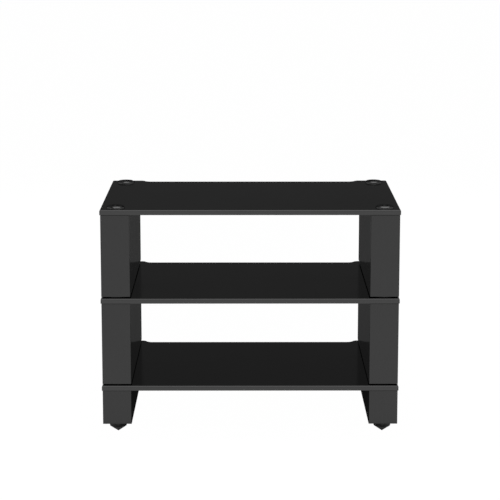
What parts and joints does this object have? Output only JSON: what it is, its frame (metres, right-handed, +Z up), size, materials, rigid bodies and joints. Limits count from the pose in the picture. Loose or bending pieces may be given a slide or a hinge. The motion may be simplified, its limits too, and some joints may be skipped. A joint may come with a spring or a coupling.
{
  "type": "audio rack",
  "caption": "Low black hi-fi rack of stacked shelf tiers on box side supports, each tier standing on cones in cups, with levelling cone feet.",
  "frame": {"origin": "on the floor, under the middle of the rack's plan", "axes": "+Z up, front towards -Y, +X to the right seen from the front"},
  "size_m": [0.7, 0.465, 0.5442],
  "materials": {
    "shelf_lacquer": "black lacquer, semi-gloss, on a fibre board",
    "support_coating": "black satin powder coat",
    "plate_steel": "black coated sheet steel",
    "column_steel": "zinc plated tube",
    "insert_steel": "turned steel",
    "cup_metal": "black chrome, turned",
    "cone_metal": "black chrome, turned",
    "nut_steel": "blackened steel"
  },
  "bodies": {
    "base_tier": {"base_cups": "cup_metal", "base_left_bottom_plate": "plate_steel", "base_left_columns": "column_steel", "base_left_support_casing": "support_coating", "base_left_top_plate": "plate_steel", "base_lower_inserts": "insert_steel", "base_right_bottom_plate": "plate_steel", "base_right_columns": "column_steel", "base_right_support_casing": "support_coating", "base_right_top_plate": "plate_steel", "base_shelf": "shelf_lacquer", "base_upper_inserts": "insert_steel", "foot_lock_nuts": "nut_steel"},
    "middle_tier": {"middle_cones": "cone_metal", "middle_cups": "cup_metal", "middle_left_bottom_plate": "plate_steel", "middle_left_columns": "column_steel", "middle_left_support_casing": "support_coating", "middle_left_top_plate": "plate_steel", "middle_lower_inserts": "insert_steel", "middle_right_bottom_plate": "plate_steel", "middle_right_columns": "column_steel", "middle_right_support_casing": "support_coating", "middle_right_top_plate": "plate_steel", "middle_shelf": "shelf_lacquer", "middle_upper_inserts": "insert_steel"},
    "top_tier": {"top_cones": "cone_metal", "top_cup_front_left": "cup_metal", "top_cup_front_right": "cup_metal", "top_cup_rear_left": "cup_metal", "top_cup_rear_right": "cup_metal", "top_left_bottom_plate": "plate_steel", "top_left_columns": "column_steel", "top_left_support_casing": "support_coating", "top_left_top_plate": "plate_steel", "top_lower_inserts": "insert_steel", "top_right_bottom_plate": "plate_steel", "top_right_columns": "column_steel", "top_right_support_casing": "support_coating", "top_right_top_plate": "plate_steel", "top_shelf": "shelf_lacquer", "top_upper_inserts": "insert_steel"},
    "foot_front_left": {"levelling_foot_front_left": "cone_metal"},
    "foot_front_right": {"levelling_foot_front_right": "cone_metal"},
    "foot_rear_left": {"levelling_foot_rear_left": "cone_metal"},
    "foot_rear_right": {"levelling_foot_rear_right": "cone_metal"}
  },
  "joints": [
    {"name": "middle_tier_lift", "type": "slide", "parent": "base_tier", "child": "middle_tier", "axis": [0, 0, 1], "range_m": [0, 0.08]},
    {"name": "top_tier_lift", "type": "slide", "parent": "middle_tier", "child": "top_tier", "axis": [0, 0, 1], "range_m": [0, 0.08]},
    {"name": "foot_front_left_height", "type": "slide", "parent": "base_tier", "child": "foot_front_left", "axis": [0, 0, 1], "range_m": [-0.008, 0]},
    {"name": "foot_front_right_height", "type": "slide", "parent": "base_tier", "child": "foot_front_right", "axis": [0, 0, 1], "range_m": [-0.008, 0]},
    {"name": "foot_rear_left_height", "type": "slide", "parent": "base_tier", "child": "foot_rear_left", "axis": [0, 0, 1], "range_m": [-0.008, 0]},
    {"name": "foot_rear_right_height", "type": "slide", "parent": "base_tier", "child": "foot_rear_right", "axis": [0, 0, 1], "range_m": [-0.008, 0]}
  ]
}
